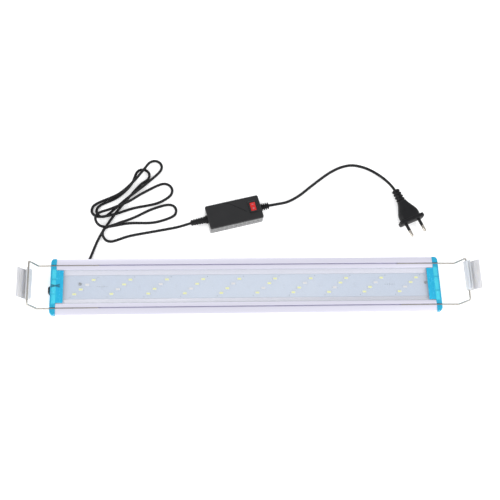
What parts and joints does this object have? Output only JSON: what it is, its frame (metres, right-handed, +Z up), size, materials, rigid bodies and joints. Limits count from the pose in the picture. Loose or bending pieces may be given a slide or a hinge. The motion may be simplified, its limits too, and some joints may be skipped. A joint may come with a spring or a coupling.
{
  "type": "led aquarium light",
  "caption": "Slim aluminium LED light bar with blue end caps, sliding wire brackets, swivelling rim clips, an in-line driver with a rocker switch, and a two-pin plug.",
  "frame": {"origin": "midway between the two end caps and across the bar, on the plane that the feet of the caps stand on", "axes": "+X along the bar from the cable end to the other end, +Y across the bar towards the driver, +Z up out of the LED side"},
  "size_m": [0.5611, 0.2107, 0.0386],
  "materials": {
    "housing_aluminium": "satin anodised",
    "clear_cover": "clear polycarbonate",
    "white_board": "white solder mask",
    "yellow_phosphor": "silicone over phosphor",
    "blue_led": "clear silicone",
    "chip_black": "moulded epoxy",
    "plated_steel": "zinc plated",
    "cap_blue": "translucent blue",
    "black_rubber": "soft black PVC",
    "lead_wires": "PVC insulated",
    "bracket_steel": "drawn stainless wire",
    "clip_plastic": "milky translucent",
    "driver_black": "black moulded ABS",
    "board_green": "green solder mask",
    "ferrite": "ferrite and tape",
    "capacitor_blue": "shrink sleeve",
    "switch_black": "moulded nylon",
    "rocker_red": "red moulded",
    "pin_metal": "nickel plated"
  },
  "bodies": {
    "lamp": {"housing": "housing_aluminium", "cover_lens": "clear_cover", "led_board": "white_board", "leds_white": "yellow_phosphor", "leds_blue": "blue_led", "board_resistors": "white_board", "board_screws": "plated_steel", "end_cap_left": "cap_blue", "end_cap_right": "cap_blue", "cap_screws": "plated_steel", "cable_boot": "black_rubber", "lamp_leads": "lead_wires", "driver_base": "driver_black", "driver_lid": "driver_black", "driver_board": "board_green", "transformer": "ferrite", "capacitors": "capacitor_blue", "driver_chips": "chip_black", "driver_screws": "plated_steel", "switch_body": "switch_black", "lamp_side_relief": "black_rubber", "mains_side_relief": "black_rubber", "plug_body": "black_rubber", "plug_boot": "black_rubber", "plug_pins": "pin_metal", "pin_sleeves": "black_rubber", "lamp_cord": "black_rubber", "mains_cord": "black_rubber"},
    "left_bracket": {"bracket_left": "bracket_steel"},
    "right_bracket": {"bracket_right": "bracket_steel"},
    "left_clip": {"clip_left": "clip_plastic"},
    "right_clip": {"clip_right": "clip_plastic"},
    "rocker_switch": {"rocker": "rocker_red"}
  },
  "joints": [
    {"name": "left_bracket_slide", "type": "slide", "parent": "lamp", "child": "left_bracket", "axis": [-1, 0, 0], "range_m": [-0.011, 0.038]},
    {"name": "right_bracket_slide", "type": "slide", "parent": "lamp", "child": "right_bracket", "axis": [1, 0, 0], "range_m": [-0.019, 0.03]},
    {"name": "left_clip_swivel", "type": "hinge", "parent": "left_bracket", "child": "left_clip", "pos_m": [-0.2639, 0, 0.029], "axis": [0, 1, 0], "range_deg": [-60, 40]},
    {"name": "right_clip_swivel", "type": "hinge", "parent": "right_bracket", "child": "right_clip", "pos_m": [0.2706, 0, 0.029], "axis": [0, 1, 0], "range_deg": [-45, 60]},
    {"name": "power_rocker", "type": "hinge", "parent": "lamp", "child": "rocker_switch", "pos_m": [0.00878, 0.10303, 0.0148], "axis": [0.9724, 0.2334, 0], "range_deg": [-16, 0]}
  ]
}
